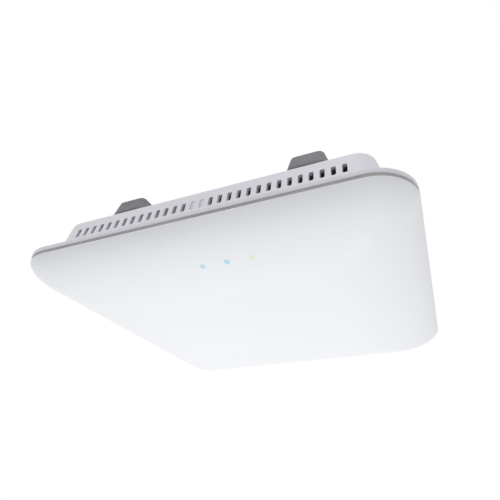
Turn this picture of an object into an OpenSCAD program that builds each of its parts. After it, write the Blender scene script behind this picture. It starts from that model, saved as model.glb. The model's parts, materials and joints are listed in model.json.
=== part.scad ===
// Ceiling access point: a square radio unit that hangs from a twist-lock ceiling bracket.
// Origin: centre of the bracket's ceiling face. +Z up, so the unit hangs below z = 0.
// The vented wall beside the status lights faces -Y.

/* [Body] */
// Width and depth of the square body
body_w = 200; // [190:1:230]
// Plan radius of the body's corners
corner_r = 20; // [17:0.5:24]
// Height of the rear housing above the seam
housing_h = 26.2; // [25:0.1:32]
// Gap between the housing's back and the ceiling
ceiling_gap = 10; // [9.5:0.1:13]
// Thickness of the rear housing's walls
wall = 2.2; // [1.6:0.1:2.6]
// Height of the dark seam between cover and housing
seam_h = 1.5; // [1:0.1:2.2]

/* [Front cover] */
// Depth of the cover below the seam
cover_d = 19.2; // [17:0.1:24]
// Width of the rolled border of the cover
roll_w = 49; // [40:1:54]
// Roundness of the rolled border (2 is a quarter ellipse)
roll_power = 1.76; // [1.5:0.02:2]
// Loss of plan radius for each millimetre inwards
roll_shrink = 0.7; // [0.4:0.05:0.9]
// Least plan radius on the cover
core_r = 6; // [4:0.5:10]
// Thickness of the cover's skin
cover_wall = 2; // [1.5:0.1:2.5]
// Width of the ledge inside the cover's rim
ledge_w = 5; // [4.5:0.1:6]
// Thickness of that ledge
ledge_t = 2; // [1.5:0.1:2.5]

/* [Rear housing] */
// Height of the flange's top above the seam
flange_top = 3.3; // [2.8:0.1:4]
// Inset of the wall at the flange
wall_inset = 9.2; // [8:0.1:10]
// Inset of the wall at the back face
back_inset = 15; // [13:0.1:16]
// Plan radius of the corners at the back face
back_r = 9; // [8.5:0.1:11]
// Height of the bevel round the back face
rim_bevel = 1.6; // [0.8:0.1:2]
// Inset of the seam gasket from the outline
gasket_inset = 0.4; // [0.4:0.1:1.2]

/* [Vents] */
// Pitch of the vent slots
slot_pitch = 5; // [4.5:0.1:6]
// Width of a vent slot
slot_w = 2.3; // [1.8:0.1:2.8]
// Height of a vent slot
slot_h = 5.9; // [5:0.1:8]
// Height of the slots' centres above the seam
slot_lift = 16.6; // [15:0.1:18]
// Corner radius of a vent slot
slot_r = 0.7; // [0.3:0.1:0.8]
// Slots beside the middle that are left closed, on each side
blind_slots = 1; // [0:1:2]
// Depth of a closed slot
blind_d = 0.5; // [0.3:0.1:0.8]

/* [Ceiling bracket] */
// Radius of the bracket's dish
bracket_r = 46; // [40:0.5:48]
// Thickness of the bracket's sheet
bracket_t = 1.5; // [1.2:0.1:2]
// Diameter of the circle through the ceiling screw holes
screw_pcd = 60; // [56:1:70]
// Diameter of the ceiling screw holes
screw_hole_d = 4.4; // [3.5:0.1:5]
// Diameter of the cable hole
cable_hole_d = 40; // [30:1:44]
// Number of bayonet tabs
tabs = 4; // [3:1:4]
// Reach of a tab beyond the dish
tab_reach = 8; // [6:0.5:9]
// Angle that a tab spans
tab_angle = 20; // [16:1:24]
// Angle that the unit turns to come free
twist_angle = 22; // [21:1:24]

/* [Feet] */
// Half length of a foot along the vented walls
foot_l = 11; // [10:0.5:14]
// Half width of a foot
foot_w = 8.5; // [7:0.5:10]
// Plan radius of a foot's corners at its base
foot_r = 5.5; // [4.5:0.5:6.5]
// Taper of a foot from base to tip
foot_taper = 2.5; // [1:0.1:2.5]
// Sideways place of the feet from the middle of their rows
foot_x = 50; // [46:0.5:54]
// Sideways shift of the rows from the body's middle
foot_shift = 4.5; // [0:0.5:5]

/* [Ports] */
// Half width of the port recess
recess_x = 32; // [31:0.5:36]
// Near end of the port recess, towards the vented wall
recess_y0 = 30; // [26:0.5:32]
// Far end of the port recess, where the sockets open
recess_y1 = 18; // [15:0.5:20]
// Place of the power jack across the recess
power_x = 20; // [18:0.5:22]
// Place of the reset button across the recess
reset_x = 18; // [16:0.5:22]
// Radius of the reset button
button_r = 2; // [1.5:0.1:2.4]
// Travel of the reset button
button_travel = 0.5; // [0.3:0.1:0.6]

/* [Electronics] */
// Depth of the main board below the housing's back face
board_drop = 20; // [19:0.1:21]
// Clearance between the main board's edge and the housing wall
board_gap = 3.8; // [3:0.1:4.5]
// Thickness of the main board
board_t = 1.6; // [1.2:0.1:2]
// Height of the chips
chip_h = 1.2; // [0.8:0.1:1.6]
// Thickness of the thermal pads
pad_h = 1; // [0.5:0.1:1.5]
// Height of the heat sink's fins
fin_h = 5.5; // [3:0.5:7]
// Distance of the antennas below the board
antenna_lift = 7.5; // [5:0.5:9]

/* [Status lights] */
// Inset of the row of lights from the body's near edge
light_inset = 20; // [16:0.5:24]
// Place of the first light across the body
light_x0 = 2; // [-10:0.5:10]
// Pitch of the lights
light_pitch = 12.3; // [10:0.1:14]
// Radius of a light guide's tip
light_r = 1.2; // [0.6:0.1:1.3]

/* [Hidden] */
$fn = 64;
over = 0.5;                 // how far a cut runs past the face it opens
bond = 0.2;                 // how far joined shapes of one moulding run into each other
fit_gap = 0.05;             // radial clearance of screws, the button and the light guides
rest_gap = 0.3;             // clearance between pieces that rest or turn on each other

// Levels
half = body_w / 2;
back_z = -ceiling_gap;
seam_z = back_z - housing_h;
gasket_top = seam_z + seam_h / 2;
gasket_low = seam_z - seam_h / 2;
flange_z = seam_z + flange_top;
inner_back_z = back_z - wall;

// Rear housing: all its corners share one centre, so the draft is the same all round
tray_c = half - back_inset - back_r;
draft = (back_inset - wall_inset) / (housing_h - flange_top);
rim_inset = 1.4;            // how far the bevel runs in over the back face
function wall_half(z) = half - wall_inset - draft * (z - flange_z);
rim_half = half - back_inset - rim_inset;
slots_side = floor((tray_c - 1) / slot_pitch);

// Sheet bracket and its bayonet
skirt_low = back_z + 2;
tab_top = skirt_low + bracket_t;
lip_low = tab_top + rest_gap;
lip_t = 2.4;
lip_top = lip_low + lip_t;
lip_r = bracket_r + 1.2;
post_r = bracket_r + tab_reach + 0.6;
post_t = 3;
stop_gap = 0.5;             // angle between a hook's stop and the tab
stop_angle = 2.5;
hook_angle = tab_angle / 2 - 2;
first_tab = 45;

// Detent: a leaf on the bracket's ear with a nose that drops between two ribs on the housing
ear_half = 12;
leaf_t = 0.5;
leaf_half = 5;
ear_y = bracket_r + 26;
leaf_y0 = bracket_r + 3;
leaf_bend = bracket_r + 13;
nose_y = bracket_r + 21;
nose_z = back_z + 0.5;
leaf_end = bracket_r + 25;
rib_h = 2.5;
rib_gap = 0.6;
rib_w = 4;
rib_y0 = nose_y - 5;
rib_y1 = nose_y + 5;
rivet_r = 1.5;
rivet_head_r = 2.4;
rivet_head_h = 0.8;
rivet_y = bracket_r + 8;
rivet_x = 2.7;

// Screws
screw_r = 1.5;
head_r = 2.8;
head_h = 2;
boss_r = 4;
cover_screw_x = tray_c + 2;
screw_sink = 4;             // depth of a cover screw's counterbore
boss_end = seam_z + 2;
cover_bite = 8;             // how far a cover screw reaches below the seam

// Main board
board_top = back_z - board_drop;
board_low = board_top - board_t;
board_half = wall_half(board_top) - wall - board_gap;
board_cut = board_half - cover_screw_x + 14;
board_hole_x = board_half - 13;
board_hole_y = 34;
board_boss_r = 3.5;
board_bite = 8;

// Port recess
recess_floor = board_top + rest_gap + wall;
wall_y = recess_y1;
wall_back = recess_y1 + wall;
jack_w = 16;
jack_h = 13.5;
jack_l = 21;
jack_y = wall_y + rest_gap;
shell_t = 0.4;
plug_w = 11.8;
plug_low = recess_floor + 0.8;
plug_top = plug_low + 8;
plug_d = 14;
power_w = 9;
power_h = 11;
power_l = 14;
power_bore_r = 2.85;
power_pin_r = 1.05;
power_z = board_top + 6.2;
button_z = recess_floor + 3.4;
button_out = 1.2;           // how far the button stands into the recess
flange_r = button_r + 1;
stem_r = 1.2;
stem_end = wall_back + 3.2;
plunger_r = 1;
plunger_len = 1.9;
switch_y = stem_end + 1;
switch_w = 6;
switch_l = 4;
switch_top = button_z + 3;

// Components on the back of the board: width, length and height, and their places
magnetics_size = [17, 12, 5.5];
magnetics_y = jack_y + jack_l + 9;
coil_size = [16, 18, 12];
core_size = [20, 8, 10];
coil_x = board_half - 46;
supply_y = board_half - 34; // row of the transformer and the capacitors
capacitor_r = 4;
capacitor_h = 11;
capacitor_pitch = 11;
capacitor_x = board_half - 50;
inductor_size = [10, 10, 5];
inductor_x = board_half - 22;
inductor_pitch = 14;
processor_w = 19;
processor_x = 20;
memory_w = 9;
memory_l = 14;
memory_x = 6;
memory_pitch = 16;
pad_edge = 0.5;             // how far a thermal pad stays inside its chip

// Heat sink over the chips, between the recess and the vented wall
sink_x = 45;
sink_y0 = board_half - 9;
sink_y1 = recess_y0 + wall + 6;
sink_z = board_top + chip_h + pad_h;
sink_t = 2;
fin_t = 1.2;
fins = 15;
foot_post_r = 3;
chip_y = (sink_y0 + sink_y1) / 2;

// Radio shields, sockets and antennas
shield_x = 54;
shield_w = 30;
shield_l = 44;
shield_h = 3.2;
coax_x = 36;
coax_y = 40;
coax_r = 1.6;
coax_h = 1.8;
antenna_c = 60;
antenna_l = 34;
antenna_w = 12;
antenna_t = 0.5;
leg_w = 3;
antenna_z = board_low - antenna_lift;
lead_r = 0.6;
lead_rings = 18;

// Status lights
led_h = 0.7;
led_gap = 0.3;
guide_r = 1.6;
guide_top = board_low - led_h - led_gap;
light_y = -(half - light_inset);
guide_boss_r = 3;
guide_boss_h = 4;

// Cover: inset and depth of its rolled border at an angle from 0 (rim) to 90 (face)
arc_n = 8;
roll_n = 14;
function roll_in(a) = 1 - pow(max(cos(a), 0), 2 / roll_power);
function roll_down(a) = pow(sin(a), 2 / roll_power);
function start_angle(d, full) = asin(pow(d / full, roll_power / 2));
function depth_at(inset) = cover_d * roll_down(acos(pow(1 - inset / roll_w, roll_power / 2)));

// One closed outline of the cover at an inset from the body's edge
function outline(inset, z) =
    let (h = half - inset, r = max(corner_r - roll_shrink * inset, core_r), c = h - r)
    [for (q = [0:3], k = [0:arc_n])
        let (a = 90 * (q + k / arc_n), sx = (q == 0 || q == 3) ? c : -c, sy = q < 2 ? c : -c)
        [sx + r * cos(a), sy + r * sin(a), z]];

// Outlines of a rolled skin from depth d0 below the seam down to the face
function skin(t, d0, n) =
    let (a0 = start_angle(d0, cover_d - t))
    [for (j = [0:n])
        let (a = min(a0 + (90 - a0) * j / n, 90))
        outline(t + (roll_w - t) * roll_in(a), seam_z - (cover_d - t) * roll_down(a))];

// Closed solid through a stack of outlines that runs down the outside and up the inside
module ring_solid(rings) {
    m = len(rings[0]);
    last = len(rings) - 1;
    points = [for (r = rings) each r];
    sides = [for (j = [0:last - 1], i = [0:m - 1])
        let (a = j * m + i, b = j * m + (i + 1) % m)
        each [[a, b, a + m], [b, b + m, a + m]]];
    top = [for (i = [m - 1:-1:0]) i];
    low = [for (i = [0:m - 1]) last * m + i];
    polyhedron(points = points, faces = concat(sides, [top, low]), convexity = 6);
}

// Cover without its hollow, used to trim posts and light guides to its outer face
module cover_block() {
    ring_solid(skin(0, seam_h / 2, roll_n));
}

module cover_hollow() {
    ledge = [outline(ledge_w, gasket_low + over), outline(ledge_w, gasket_low - ledge_t)];
    ring_solid(concat(ledge, skin(cover_wall, seam_h / 2 + ledge_t + 0.01, roll_n)));
}

// Rounded square plate with true corner arcs
module round_plate(h, r, z0, z1) {
    translate([0, 0, z0]) linear_extrude(z1 - z0) {
        square([2 * h, 2 * (h - r)], center = true);
        square([2 * (h - r), 2 * h], center = true);
        for (x = [-1, 1], y = [-1, 1]) translate([x * (h - r), y * (h - r)]) circle(r);
    }
}

// Drafted rounded square block whose corner centres stay at c, from half width h0 to h1
module drafted_block(c, h0, z0, h1, z1) {
    drafted_pad(c, c, h0 - c, z0, h1 - c, z1);
}

// Drafted block with corner centres at (x, y) and corner radii r0 below and r1 above
module drafted_pad(x, y, r0, z0, r1, z1) {
    rotate([90, 0, 0]) linear_extrude(2 * y, center = true) drafted_side(x, r0, z0, r1, z1);
    rotate([90, 0, 90]) linear_extrude(2 * x, center = true) drafted_side(y, r0, z0, r1, z1);
    at_corners(x, y, z0) cylinder(h = z1 - z0, r1 = r0, r2 = r1);
}

module drafted_side(c, r0, z0, r1, z1) {
    polygon([[-c - r0, z0], [c + r0, z0], [c + r1, z1], [-c - r1, z1]]);
}

// Part of a ring between two radii and two levels, from angle a0 over a given angle
module sector(r0, r1, z0, z1, a0, angle) {
    rotate([0, 0, a0]) rotate_extrude(angle = angle)
        translate([r0, z0]) square([r1 - r0, z1 - z0]);
}

module box(x0, x1, y0, y1, z0, z1) {
    translate([x0, y0, z0]) cube([x1 - x0, y1 - y0, z1 - z0]);
}

module at_corners(x, y, z = 0) {
    for (i = [-1, 1], j = [-1, 1]) translate([i * x, j * y, z]) children();
}

// Chip or box-shaped component that stands on the back of the board
module component(x, y, size) {
    translate([x - size[0] / 2, y - size[1] / 2, board_top]) cube(size);
}

// Ceiling side ---------------------------------------------------------------------------

module mounting_bracket() {
    color([0.78, 0.79, 0.80]) difference() {
        union() {
            translate([0, 0, -bracket_t]) cylinder(h = bracket_t, r = bracket_r);
            difference() {
                translate([0, 0, skirt_low]) cylinder(h = -skirt_low, r = bracket_r);
                translate([0, 0, skirt_low - over])
                    cylinder(h = -skirt_low - bracket_t + over, r = bracket_r - bracket_t);
            }
            for (i = [0:tabs - 1])
                sector(bracket_r - bond, bracket_r + tab_reach, skirt_low, tab_top,
                    first_tab + i * 360 / tabs - tab_angle / 2, tab_angle);
            box(-ear_half, ear_half, 0, ear_y, -bracket_t, 0);
        }
        translate([0, 0, -bracket_t - over]) cylinder(h = bracket_t + 2 * over, d = cable_hole_d);
        for (a = [0:90:270]) rotate([0, 0, a])
            translate([screw_pcd / 2, 0, -bracket_t - over])
                cylinder(h = bracket_t + 2 * over, d = screw_hole_d);
        for (x = [-rivet_x, rivet_x]) translate([x, rivet_y, -bracket_t - over])
            cylinder(h = bracket_t + 2 * over, r = rivet_r);
    }
}

module detent_spring() {
    low = -bracket_t - leaf_t;
    leaf = [[leaf_y0, low], [leaf_bend, low], [nose_y, nose_z], [leaf_end, nose_z + 3],
        [leaf_end, nose_z + 3.6], [nose_y, nose_z + 0.7], [leaf_bend, -bracket_t],
        [leaf_y0, -bracket_t]];
    color([0.62, 0.63, 0.65]) difference() {
        rotate([90, 0, 90]) linear_extrude(2 * leaf_half, center = true) polygon(leaf);
        for (x = [-rivet_x, rivet_x]) translate([x, rivet_y, low - over])
            cylinder(h = leaf_t + 2 * over, r = rivet_r);
    }
}

module spring_rivets() {
    grip = bracket_t + leaf_t;
    color([0.70, 0.70, 0.72]) for (x = [-rivet_x, rivet_x]) translate([x, rivet_y, -grip]) {
        cylinder(h = grip, r = rivet_r);
        translate([0, 0, -rivet_head_h]) cylinder(h = rivet_head_h, r1 = rivet_r, r2 = rivet_head_r);
    }
}

// Rear housing ---------------------------------------------------------------------------

module slot(depth, y) {
    translate([0, y, seam_z + slot_lift]) rotate([90, 0, 0]) linear_extrude(depth, center = true) {
        square([slot_w, slot_h - 2 * slot_r], center = true);
        square([slot_w - 2 * slot_r, slot_h], center = true);
        for (x = [-1, 1], z = [-1, 1])
            translate([x * (slot_w / 2 - slot_r), z * (slot_h / 2 - slot_r)]) circle(slot_r, $fn = 16);
    }
}

module vents() {
    face = wall_half(seam_z + slot_lift);
    for (i = [0:slots_side - 1], s = [-1, 1], w = [-1, 1])
        translate([s * (i + 0.5) * slot_pitch, 0, 0])
            if (i < blind_slots) slot(2 * blind_d, w * face);
            else slot(4 * wall, w * (face - wall / 2));
}

// Bayonet hook: a post with a lip over the bracket's tab and a stop at one end
module hook(a) {
    from = a - tab_angle / 2 - stop_gap;
    reach = tab_angle / 2 + stop_gap + hook_angle;
    sector(post_r, post_r + post_t, back_z - bond, lip_top, from - stop_angle, reach + stop_angle);
    sector(lip_r, post_r + bond, lip_low, lip_top, from - stop_angle, reach + stop_angle);
    sector(lip_r, post_r + bond, back_z - bond, lip_low + bond, from - stop_angle, stop_angle);
}

module detent_rib(side) {
    x0 = leaf_half + rib_gap;
    rib = [[x0, back_z - bond], [x0 + rib_w, back_z - bond], [x0 + rib_w, back_z + rib_h - 1],
        [x0 + rib_w - 1, back_z + rib_h], [x0 + rib_h, back_z + rib_h], [x0, back_z + 0.3]];
    translate([0, rib_y1, 0]) rotate([90, 0, 0]) linear_extrude(rib_y1 - rib_y0)
        polygon([for (p = rib) [side * p[0], p[1]]]);
}

module rear_housing() {
    shelf_top = back_z - rim_bevel;
    in_low = wall_half(gasket_top - over) - wall;
    recess_out = recess_x + wall;
    color([0.83, 0.83, 0.85]) difference() {
        union() {
            difference() {
                union() {
                    round_plate(half, corner_r, gasket_top, flange_z);
                    drafted_block(tray_c, wall_half(flange_z - bond), flange_z - bond,
                        wall_half(shelf_top), shelf_top);
                    drafted_block(tray_c, wall_half(shelf_top), shelf_top, rim_half, back_z);
                }
                drafted_block(tray_c, in_low, gasket_top - over,
                    wall_half(inner_back_z) - wall, inner_back_z);
            }
            box(-recess_out, recess_out, -recess_y0 - wall, wall_back, recess_floor - wall,
                inner_back_z + bond);
            at_corners(cover_screw_x, cover_screw_x, boss_end)
                cylinder(h = inner_back_z + bond - boss_end, r = boss_r);
            at_corners(board_hole_x, board_hole_y, board_top)
                cylinder(h = inner_back_z + bond - board_top, r = board_boss_r);
            for (i = [0:tabs - 1]) hook(first_tab + i * 360 / tabs);
            for (s = [-1, 1]) detent_rib(s);
        }
        box(-recess_x, recess_x, -recess_y0, wall_y, recess_floor, back_z + over);
        box(-jack_w / 2 - rest_gap, jack_w / 2 + rest_gap, wall_y - over, wall_back + over,
            recess_floor - wall - over, board_top + jack_h + rest_gap);
        box(power_x - power_w / 2 - rest_gap, power_x + power_w / 2 + rest_gap, wall_y - over,
            wall_back + over, recess_floor - wall - over, board_top + power_h + rest_gap);
        translate([-reset_x, wall_back + over, button_z]) rotate([90, 0, 0])
            cylinder(h = wall + 2 * over, r = button_r + fit_gap);
        at_corners(cover_screw_x, cover_screw_x, boss_end - over)
            cylinder(h = housing_h, r = screw_r + fit_gap);
        at_corners(cover_screw_x, cover_screw_x, back_z - screw_sink)
            cylinder(h = screw_sink + over, r = head_r + rest_gap);
        at_corners(board_hole_x, board_hole_y, board_top - over)
            cylinder(h = board_bite + 1 + over, r = screw_r + fit_gap);
        vents();
    }
}

module foot_block(r0, z0, r1, z1) {
    drafted_pad(foot_l - foot_r, foot_w - foot_r, r0, z0, r1, z1);
}

module rubber_feet() {
    foot_y = half - back_inset - foot_w - rest_gap;
    tip_z = back_z + ceiling_gap - rest_gap;
    tip_r = foot_r - foot_taper;
    color([0.50, 0.50, 0.51]) translate([foot_shift, 0, 0]) at_corners(foot_x, foot_y) {
        foot_block(foot_r, back_z, foot_r, back_z + 1.2);
        foot_block(foot_r, back_z + 1, tip_r, tip_z - 1);
        foot_block(tip_r, tip_z - 1, tip_r - 1, tip_z);
    }
}

module seam_gasket() {
    color([0.58, 0.56, 0.56]) difference() {
        round_plate(half - gasket_inset, corner_r - gasket_inset, gasket_low, gasket_top);
        round_plate(half - ledge_w + 0.5, corner_r - ledge_w + 0.5, gasket_low - over,
            gasket_top + over);
    }
}

// Front cover ----------------------------------------------------------------------------

function light_x(i) = light_x0 + i * light_pitch;

module front_cover() {
    floor_z = seam_z - cover_d;
    color([0.95, 0.95, 0.96]) difference() {
        union() {
            difference() {
                cover_block();
                cover_hollow();
            }
            at_corners(cover_screw_x, cover_screw_x, gasket_low - ledge_t)
                cylinder(h = boss_end - gasket_low + ledge_t, r = boss_r);
            intersection() {
                at_corners(cover_screw_x, cover_screw_x, floor_z)
                    cylinder(h = cover_d - ledge_t, r = boss_r);
                cover_block();
            }
            intersection() {
                for (i = [0:2]) translate([light_x(i), light_y, floor_z])
                    cylinder(h = cover_d - depth_at(light_inset) + guide_boss_h, r = guide_boss_r);
                cover_block();
            }
        }
        at_corners(cover_screw_x, cover_screw_x, seam_z - cover_bite - 0.5)
            cylinder(h = cover_bite + housing_h, r = screw_r + fit_gap);
        for (i = [0:2]) translate([light_x(i), light_y, 0]) {
            translate([0, 0, floor_z - over]) cylinder(h = cover_d, r = light_r + fit_gap);
            translate([0, 0, guide_step]) cylinder(h = cover_d, r = guide_r + fit_gap);
        }
    }
}
guide_step = seam_z - depth_at(light_inset) + cover_wall;

// Screw with a round head at its top or, flipped, at its foot
module screw(length) {
    cylinder(h = head_h, r = head_r);
    translate([0, 0, -length]) cylinder(h = length + bond, r = screw_r);
}

module cover_screws() {
    seat = back_z - screw_sink;
    color([0.55, 0.56, 0.58]) at_corners(cover_screw_x, cover_screw_x, seat)
        screw(seat - seam_z + cover_bite);
}

// Board and what stands on it ------------------------------------------------------------

module main_board() {
    b = board_half;
    c = board_cut;
    edge = [[b, b - c], [b - c, b], [c - b, b], [-b, b - c], [-b, c - b], [c - b, -b], [b - c, -b],
        [b, c - b]];
    color([0.05, 0.28, 0.18]) difference() {
        translate([0, 0, board_low]) linear_extrude(board_t) polygon(edge);
        at_corners(board_hole_x, board_hole_y, board_low - over)
            cylinder(h = board_t + 2 * over, r = screw_r + fit_gap);
        sink_posts() translate([0, 0, -board_t - over])
            cylinder(h = board_t + 2 * over, r = screw_r + fit_gap);
    }
}

module board_screws() {
    color([0.72, 0.72, 0.74]) at_corners(board_hole_x, board_hole_y, board_low)
        mirror([0, 0, 1]) screw(board_t + board_bite);
}

module ethernet_jack() {
    x = jack_w / 2;
    top = board_top + jack_h;
    color([0.75, 0.76, 0.78]) difference() {
        box(-x, x, jack_y, jack_y + jack_l, board_top, top);
        box(-x + shell_t, x - shell_t, jack_y - over, jack_y + jack_l - shell_t,
            board_top + shell_t, top - shell_t);
    }
}

module ethernet_insert() {
    x = jack_w / 2 - shell_t;
    color([0.10, 0.10, 0.11]) difference() {
        box(-x, x, jack_y, jack_y + jack_l - shell_t, board_top + shell_t,
            board_top + jack_h - shell_t);
        box(-plug_w / 2, plug_w / 2, jack_y - over, jack_y + plug_d, plug_low, plug_top);
        box(-2, 2, jack_y - over, jack_y + plug_d - 4, plug_low - 1.4, plug_low + over);
    }
}

module ethernet_contacts() {
    root = jack_y + plug_d;
    wire = 0.4;
    color([0.85, 0.68, 0.30]) for (i = [0:7])
        translate([(i - 3.5) * 1.02, 0, 0]) rotate([90, 0, 90]) linear_extrude(wire, center = true)
            polygon([[root, plug_top - 2.6], [root, plug_top - 2.6 + wire], [jack_y + 4, plug_top],
                [jack_y + 3, plug_top]]);
}

module power_jack() {
    color([0.08, 0.08, 0.09]) difference() {
        box(power_x - power_w / 2, power_x + power_w / 2, jack_y, jack_y + power_l, board_top,
            board_top + power_h);
        translate([power_x, jack_y - over, power_z]) rotate([-90, 0, 0])
            cylinder(h = power_l - 4 + over, r = power_bore_r);
    }
}

module power_pin() {
    color([0.80, 0.78, 0.72]) translate([power_x, jack_y + 1, power_z]) rotate([-90, 0, 0]) {
        cylinder(h = 0.6, r1 = power_pin_r - 0.5, r2 = power_pin_r);
        translate([0, 0, 0.6]) cylinder(h = power_l - 5.6, r = power_pin_r);
    }
}

module along_y(x, y, z) {
    translate([x, y, z]) rotate([-90, 0, 0]) children();
}

module reset_button() {
    flange = wall_back + rest_gap;
    color([0.20, 0.20, 0.22]) {
        along_y(-reset_x, wall_y - button_out, button_z)
            cylinder(h = button_out + wall + rest_gap + bond, r = button_r);
        along_y(-reset_x, flange, button_z) cylinder(h = 1, r = flange_r);
        along_y(-reset_x, flange + 1 - bond, button_z)
            cylinder(h = stem_end - flange - 1 + bond, r = stem_r);
    }
}

module switch_plunger() {
    color([0.85, 0.84, 0.80]) along_y(-reset_x, stem_end, button_z)
        cylinder(h = plunger_len, r = plunger_r);
}

module reset_switch() {
    w = switch_w / 2;
    color([0.25, 0.25, 0.27]) difference() {
        box(-reset_x - w, -reset_x + w, switch_y, switch_y + switch_l, board_top, switch_top);
        along_y(-reset_x, switch_y - over, button_z)
            cylinder(h = over + plunger_len - 1 + button_travel + 0.4, r = plunger_r + fit_gap);
    }
}

module ethernet_magnetics() {
    color([0.09, 0.09, 0.10]) component(0, magnetics_y, magnetics_size);
}

module power_transformer() {
    color([0.85, 0.72, 0.30]) {
        component(-coil_x, supply_y, coil_size);
        component(-coil_x, supply_y, core_size);
    }
}

module inductors() {
    color([0.28, 0.28, 0.30]) for (i = [-1, 0])
        component(-inductor_x, supply_y + 8 + i * inductor_pitch, inductor_size);
}

module capacitors() {
    color([0.12, 0.14, 0.22]) for (i = [0:2])
        translate([capacitor_x + capacitor_pitch * i, supply_y + capacitor_r, board_top])
            cylinder(h = capacitor_h, r = capacitor_r);
}

module processor() {
    color([0.12, 0.12, 0.13]) 
        component(-processor_x, -chip_y, [processor_w, processor_w, chip_h]);
}

module memory_chips() {
    color([0.10, 0.10, 0.11]) for (i = [0, 1])
        component(memory_x + i * memory_pitch, -chip_y, [memory_w, memory_l, chip_h]);
}

module thermal_pads() {
    color([0.55, 0.60, 0.68]) translate([0, 0, chip_h]) {
        pad = processor_w - 2 * pad_edge;
        component(-processor_x, -chip_y, [pad, pad, pad_h]);
        for (i = [0, 1])
            component(memory_x + i * memory_pitch, -chip_y,
                [memory_w - 2 * pad_edge, memory_l - 2 * pad_edge, pad_h]);
    }
}

module sink_posts() {
    for (x = [-1, 1], y = [sink_y0 - 4, sink_y1 + 4])
        translate([x * (sink_x - 4), -y, board_top]) children();
}

module heat_sink() {
    step = (2 * sink_x - fin_t) / (fins - 1);
    color([0.68, 0.69, 0.71]) difference() {
        union() {
            box(-sink_x, sink_x, -sink_y0, -sink_y1, sink_z, sink_z + sink_t);
            for (i = [0:fins - 1])
                box(-sink_x + i * step, -sink_x + i * step + fin_t, -sink_y0, -sink_y1,
                    sink_z + sink_t - bond, sink_z + sink_t + fin_h);
            sink_posts() cylinder(h = sink_z + bond - board_top, r = foot_post_r);
        }
        sink_posts() translate([0, 0, -over])
            cylinder(h = sink_z - board_top + sink_t + over, r = screw_r + fit_gap);
    }
}

module heat_sink_screws() {
    color([0.72, 0.72, 0.74]) sink_posts() translate([0, 0, -board_t])
        mirror([0, 0, 1]) screw(board_t + sink_z - board_top + sink_t - 0.4);
}

// Tinned can, open towards the board
module radio_shield(side) {
    t = 0.3;
    color([0.80, 0.81, 0.82]) difference() {
        component(side * shield_x, 0, [shield_w, shield_l, shield_h]);
        translate([0, 0, -t])
            component(side * shield_x, 0, [shield_w - 2 * t, shield_l - 2 * t, shield_h]);
    }
}

module left_radio_shield() {
    radio_shield(-1);
}

module right_radio_shield() {
    radio_shield(1);
}

module coax_sockets() {
    color([0.83, 0.66, 0.32]) at_corners(coax_x, coax_y, board_low - coax_h)
        cylinder(h = coax_h, r = coax_r);
}

// Stamped antenna: a plate on two legs that stand on the board's front side
module antenna(x, y) {
    l = antenna_l / 2;
    w = antenna_w / 2;
    color([0.78, 0.70, 0.52]) translate([x * antenna_c, y * antenna_c, 0]) rotate([0, 0, -45 * x * y]) {
        box(-l, l, -w, w, antenna_z, antenna_z + antenna_t);
        box(-leg_w, 0, w - antenna_t, w, antenna_z, board_low);
        box(leg_w, 2 * leg_w, w - antenna_t, w, antenna_z, board_low);
    }
}

module front_left_antenna() {
    antenna(-1, -1);
}

module front_right_antenna() {
    antenna(1, -1);
}

module rear_left_antenna() {
    antenna(-1, 1);
}

module rear_right_antenna() {
    antenna(1, 1);
}

// Coaxial lead: a thin tube in a low arc from its socket to the antenna's plate
function lead_point(a, b, t) = a + (b - a) * t + [0, 0, -3 * sin(180 * t)];

module lead(x, y) {
    inner = antenna_c - antenna_w * 0.2;
    a = [x * (coax_x + 1), y * (coax_y + 1), board_low - coax_h - lead_r];
    b = [x * inner, y * inner, antenna_z - lead_r];
    d = unit_vector([b[0] - a[0], b[1] - a[1], 0]);
    side = [-d[1], d[0], 0];
    rings = [for (k = [0:lead_rings])
        let (p = lead_point(a, b, k / lead_rings))
        [for (i = [0:7]) p + lead_r * (cos(45 * i) * side - sin(45 * i) * [0, 0, 1])]];
    color([0.10, 0.10, 0.10]) ring_solid(rings);
}
function unit_vector(v) = v / norm(v);

module front_left_lead() {
    lead(-1, -1);
}

module front_right_lead() {
    lead(1, -1);
}

module rear_left_lead() {
    lead(-1, 1);
}

module rear_right_lead() {
    lead(1, 1);
}

// Status lights --------------------------------------------------------------------------

module status_leds() {
    color([0.95, 0.93, 0.80]) for (i = [0:2])
        box(light_x(i) - 0.8, light_x(i) + 0.8, light_y - 0.4, light_y + 0.4, board_low - led_h,
            board_low);
}

module light_guide(i) {
    translate([light_x(i), light_y, 0]) {
        translate([0, 0, guide_step]) cylinder(h = guide_top - guide_step, r = guide_r);
        intersection() {
            translate([0, 0, guide_step - cover_wall - 1]) cylinder(h = cover_wall + 1 + bond, r = light_r);
            translate([-light_x(i), -light_y, 0]) cover_block();
        }
    }
}

module blue_light_guide() {
    color([0.75, 0.84, 0.90]) light_guide(0);
}

module cyan_light_guide() {
    color([0.60, 0.86, 0.92]) light_guide(1);
}

module green_light_guide() {
    color([0.80, 0.92, 0.70]) light_guide(2);
}

mounting_bracket();
detent_spring();
spring_rivets();
rear_housing();
rubber_feet();
seam_gasket();
front_cover();
cover_screws();
main_board();
board_screws();
ethernet_jack();
ethernet_insert();
ethernet_contacts();
power_jack();
power_pin();
reset_switch();
switch_plunger();
reset_button();
ethernet_magnetics();
power_transformer();
inductors();
capacitors();
processor();
memory_chips();
thermal_pads();
heat_sink();
heat_sink_screws();
left_radio_shield();
right_radio_shield();
coax_sockets();
front_left_antenna();
front_right_antenna();
rear_left_antenna();
rear_right_antenna();
front_left_lead();
front_right_lead();
rear_left_lead();
rear_right_lead();
status_leds();
blue_light_guide();
cyan_light_guide();
green_light_guide();
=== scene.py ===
import functools
import json
import math

import bmesh
import bpy
from mathutils import Matrix, Vector


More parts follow.
